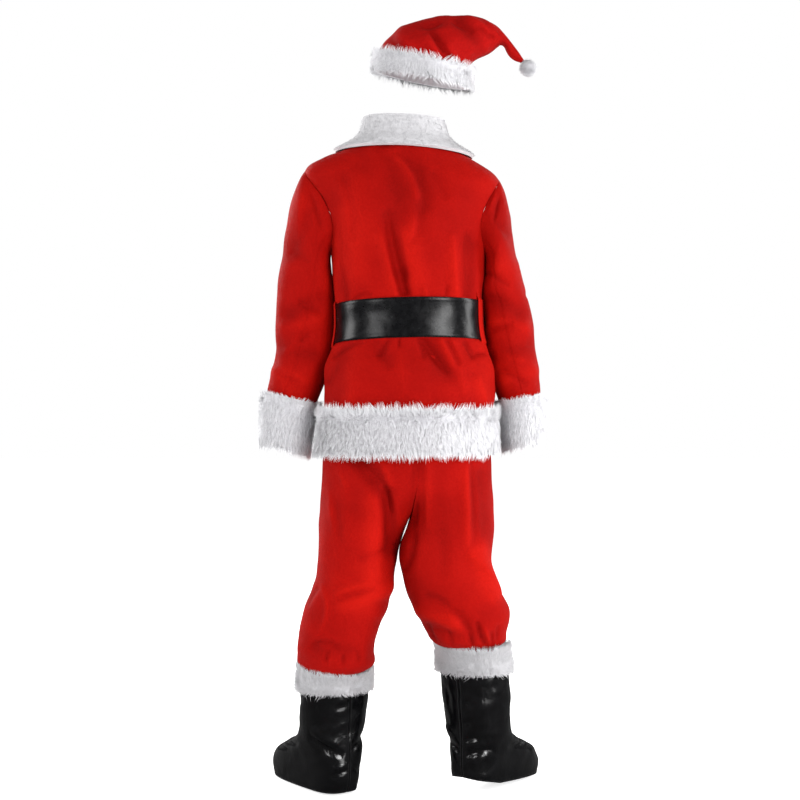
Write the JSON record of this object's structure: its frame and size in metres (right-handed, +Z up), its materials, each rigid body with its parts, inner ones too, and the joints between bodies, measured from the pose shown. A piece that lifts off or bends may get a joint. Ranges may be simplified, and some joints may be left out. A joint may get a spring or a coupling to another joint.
{
  "type": "santa suit: jacket, trousers, belt, hat and boot covers",
  "caption": "Santa suit in worn form: red twill jacket and trousers with white plush trim, wide black belt, floppy hat and black vinyl boot covers.",
  "frame": {"origin": "middle of the wearer's shoulders, 1.45 m above the floor the boot covers would stand on; the mount wearer_shoulders", "axes": "+Z up, along the height of the worn suit; -Y is the front of the suit and +X the wearer's left"},
  "size_m": [0.6742, 0.3817, 1.7902],
  "materials": {
    "red_twill": "matt polyester twill with a faint diagonal weave",
    "red_hat_cloth": "brushed polyester, matt with a soft nap",
    "white_plush": "acrylic plush, long soft pile",
    "black_belt": "leathercloth, satin sheen, fine grain",
    "black_vinyl": "vinyl sheet, glossy and creased",
    "buckle_metal": "polished"
  },
  "bodies": {
    "root": {"jacket_back": "red_twill", "jacket_front_left": "red_twill", "jacket_front_right": "red_twill", "sleeve_left_outer": "red_twill", "sleeve_left_under": "red_twill", "sleeve_right_outer": "red_twill", "sleeve_right_under": "red_twill", "cuff_left": "white_plush", "cuff_right": "white_plush", "collar": "white_plush", "hem_band_back": "white_plush", "hem_band_front_left": "white_plush", "hem_band_front_right": "white_plush", "belt_strap": "black_belt", "belt_loop_left": "red_twill", "belt_loop_right": "red_twill", "buckle_frame": "buckle_metal", "buckle_prong": "buckle_metal", "trouser_left_back": "red_twill", "trouser_left_front": "red_twill", "trouser_right_back": "red_twill", "trouser_right_front": "red_twill", "trouser_waistband": "red_twill", "hat_back": "red_hat_cloth", "hat_front": "red_hat_cloth", "hat_brim": "white_plush", "hat_pompom": "white_plush", "boot_left_outer": "black_vinyl", "boot_left_inner": "black_vinyl", "boot_right_outer": "black_vinyl", "boot_right_inner": "black_vinyl", "boot_trim_left": "white_plush", "boot_trim_right": "white_plush"}
  },
  "joints": []
}
